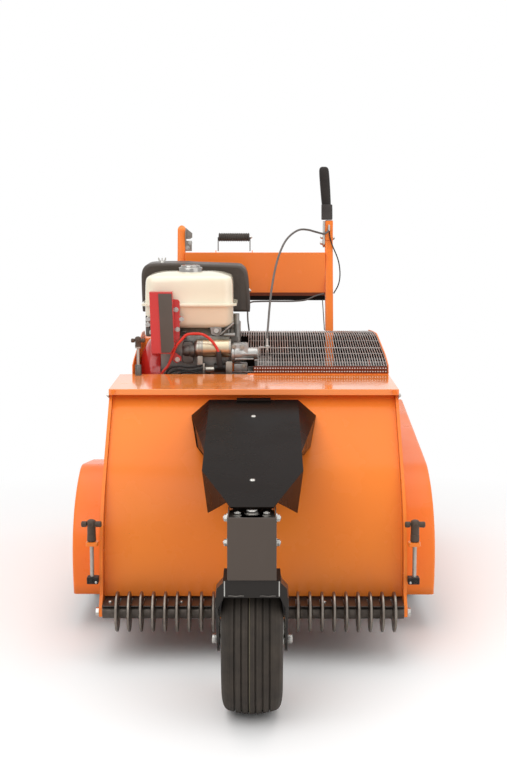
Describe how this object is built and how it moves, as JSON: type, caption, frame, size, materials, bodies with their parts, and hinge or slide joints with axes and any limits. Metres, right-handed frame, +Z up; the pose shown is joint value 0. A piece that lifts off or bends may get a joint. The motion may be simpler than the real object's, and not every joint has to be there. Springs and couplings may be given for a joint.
{
  "type": "lawn overseeder",
  "caption": "Walk-behind lawn overseeder with a front castor, guide disc roller, slotting rotor under an orange hood, petrol engine, wire guard, seed hopper and rear handle.",
  "frame": {"origin": "middle of the machine's footprint on the ground, under the centre of its overall box", "axes": "+X to the machine's right side as seen from its front, where the engine is on -X; -Y towards the front with the castor, +Y towards the handle; +Z up from the ground"},
  "size_m": [0.964, 1.8569, 1.2355],
  "materials": {
    "air_cleaner": "moulded, fine grain",
    "bail_grip": "matt rubber",
    "battery": "moulded, fine grain",
    "castor_arm": "semi-gloss black powder coat",
    "castor_axle": "bright zinc plate",
    "castor_fork": "semi-gloss black powder coat",
    "castor_hub": "glossy cream white paint",
    "castor_tyre": "matt tread rubber",
    "clutch_cable": "ribbed cable sheath",
    "clutch_grip": "matt rubber",
    "clutch_lever": "worn steel",
    "comb_plate": "worn steel, brown-grey",
    "control_box": "glossy red",
    "crossbeam": "glossy orange powder coat",
    "depth_block": "moulded, fine grain",
    "depth_screw": "moulded, fine grain",
    "disc_roller": "ground steel discs",
    "drive_bail": "bright zinc plate",
    "drive_shaft": "worn steel",
    "engine_block": "cast, satin",
    "engine_deck": "glossy orange powder coat",
    "fin_bar": "bright zinc plate",
    "fuel_cap": "polished",
    "fuel_tank": "glossy cream white paint",
    "grid_guard": "dark zinc-coated wire",
    "guard_plate": "glossy orange powder coat",
    "guard_strip": "glossy orange powder coat",
    "handlebar": "semi-gloss black powder coat",
    "handlebar_grip": "matt rubber",
    "head_cover": "satin grey-brown paint",
    "hood_front": "glossy orange powder coat",
    "hopper": "glossy orange powder coat",
    "hopper_lid": "glossy orange powder coat",
    "metering_roller": "cast, satin",
    "muffler": "heat-browned steel",
    "nose_cover": "semi-gloss black powder coat",
    "rear_axle": "glossy cream white paint",
    "rear_roller": "worn steel",
    "rear_tyre": "matt tread rubber",
    "recoil_cover": "glossy red",
    "roller_bolt": "bright zinc plate",
    "rotor": "worn steel",
    "rotor_belt": "matt rubber",
    "rotor_screw": "moulded, fine grain",
    "seed_chute": "worn steel",
    "side_plate": "glossy orange powder coat",
    "starter_motor": "bright zinc plate",
    "throttle_cable": "moulded, fine grain",
    "top_plate": "glossy orange powder coat",
    "upright": "glossy orange powder coat",
    "wheel_guard": "glossy orange powder coat"
  },
  "bodies": {
    "chassis": {"air_cleaner": "air_cleaner", "battery": "battery", "castor_arm": "castor_arm", "clutch_cable": "clutch_cable", "comb_plate": "comb_plate", "control_box": "control_box", "crossbeam": "crossbeam", "depth_block_left": "depth_block", "depth_block_right": "depth_block", "engine_block": "engine_block", "engine_deck": "engine_deck", "fin_bar": "fin_bar", "fuel_tank": "fuel_tank", "grid_guard": "grid_guard", "guard_plate_left": "guard_plate", "guard_plate_right": "guard_plate", "guard_strip": "guard_strip", "handlebar": "handlebar", "handlebar_grip_left": "handlebar_grip", "handlebar_grip_right": "handlebar_grip", "head_cover": "head_cover", "hood_front": "hood_front", "hopper": "hopper", "muffler": "muffler", "nose_cover": "nose_cover", "recoil_cover": "recoil_cover", "roller_bolt_left": "roller_bolt", "roller_bolt_right": "roller_bolt", "rotor_belt": "rotor_belt", "seed_chute": "seed_chute", "side_plate_left": "side_plate", "side_plate_right": "side_plate", "starter_motor": "starter_motor", "throttle_cable": "throttle_cable", "top_plate": "top_plate", "upright_left": "upright", "upright_right": "upright", "wheel_guard_left": "wheel_guard", "wheel_guard_right": "wheel_guard"},
    "castor_fork_body": {"castor_fork": "castor_fork", "castor_axle": "castor_axle"},
    "castor_wheel_body": {"castor_tyre": "castor_tyre", "castor_hub": "castor_hub"},
    "disc_roller_body": {"disc_roller": "disc_roller"},
    "drive_shaft_body": {"drive_shaft": "drive_shaft"},
    "rotor_body": {"rotor": "rotor"},
    "rear_axle_body": {"rear_axle": "rear_axle", "rear_tyre_left": "rear_tyre", "rear_tyre_right": "rear_tyre"},
    "metering_body": {"metering_roller": "metering_roller"},
    "rear_roller_body": {"rear_roller": "rear_roller"},
    "clutch_lever_body": {"clutch_lever": "clutch_lever", "clutch_grip": "clutch_grip"},
    "drive_bail_body": {"drive_bail": "drive_bail", "bail_grip": "bail_grip"},
    "depth_screw_left_body": {"depth_screw_left": "depth_screw"},
    "depth_screw_right_body": {"depth_screw_right": "depth_screw"},
    "rotor_screw_body": {"rotor_screw": "rotor_screw"},
    "fuel_cap_body": {"fuel_cap": "fuel_cap"},
    "hopper_lid_body": {"hopper_lid": "hopper_lid"}
  },
  "joints": [
    {"name": "castor_swivel", "type": "hinge", "parent": "chassis", "child": "castor_fork_body", "pos_m": [0, -0.8485, 0.34], "axis": [0, 0, 1], "continuous": true},
    {"name": "castor_spin", "type": "hinge", "parent": "castor_fork_body", "child": "castor_wheel_body", "pos_m": [0, -0.7635, 0.165], "axis": [1, 0, 0], "continuous": true},
    {"name": "disc_roller_spin", "type": "hinge", "parent": "chassis", "child": "disc_roller_body", "pos_m": [0, -0.4235, 0.122], "axis": [1, 0, 0], "continuous": true},
    {"name": "drive_shaft_spin", "type": "hinge", "parent": "chassis", "child": "drive_shaft_body", "pos_m": [0, 0.3765, 0.607], "axis": [1, 0, 0], "continuous": true},
    {"name": "rotor_spin", "type": "hinge", "parent": "chassis", "child": "rotor_body", "pos_m": [0, -0.1235, 0.175], "axis": [1, 0, 0], "continuous": true},
    {"name": "rear_axle_spin", "type": "hinge", "parent": "chassis", "child": "rear_axle_body", "pos_m": [0, 0.1965, 0.165], "axis": [1, 0, 0], "continuous": true},
    {"name": "metering_spin", "type": "hinge", "parent": "chassis", "child": "metering_body", "pos_m": [0, 0.8315, 0.455], "axis": [1, 0, 0], "continuous": true},
    {"name": "rear_roller_spin", "type": "hinge", "parent": "chassis", "child": "rear_roller_body", "pos_m": [0, 0.7965, 0.06], "axis": [1, 0, 0], "continuous": true},
    {"name": "clutch_lever_hinge", "type": "hinge", "parent": "chassis", "child": "clutch_lever_body", "pos_m": [0.2235, 0.7765, 0.99], "axis": [1, 0, 0], "range_deg": [-45, 10]},
    {"name": "drive_bail_hinge", "type": "hinge", "parent": "chassis", "child": "drive_bail_body", "pos_m": [-0.0685, 0.7625, 0.9645], "axis": [1, 0, 0], "range_deg": [-35, 0], "stiffness_Nm_per_rad": 0.6, "springref_deg": 2.86},
    {"name": "depth_screw_left_turn", "type": "hinge", "parent": "chassis", "child": "depth_screw_left_body", "pos_m": [-0.4, -0.4235, 0.2], "axis": [0, 0, 1], "continuous": true},
    {"name": "depth_screw_right_turn", "type": "hinge", "parent": "chassis", "child": "depth_screw_right_body", "pos_m": [0.4, -0.4235, 0.2], "axis": [0, 0, 1], "continuous": true},
    {"name": "rotor_screw_turn", "type": "hinge", "parent": "chassis", "child": "rotor_screw_body", "pos_m": [-0.3285, 0.1315, 0.64], "axis": [0, 0, 1], "continuous": true},
    {"name": "fuel_cap_turn", "type": "hinge", "parent": "chassis", "child": "fuel_cap_body", "pos_m": [-0.189, 0.3415, 0.93], "axis": [0, 0, 1], "range_deg": [0, 90]},
    {"name": "hopper_lid_hinge", "type": "hinge", "parent": "chassis", "child": "hopper_lid_body", "pos_m": [0, 0.7275, 0.6822], "axis": [1, 0, 0], "range_deg": [0, 70]}
  ],
  "couplings": [
    {"joint": "rotor_spin", "follows": "drive_shaft_spin", "ratio": 0.8889},
    {"joint": "metering_spin", "follows": "rear_axle_spin", "ratio": 0.5}
  ]
}
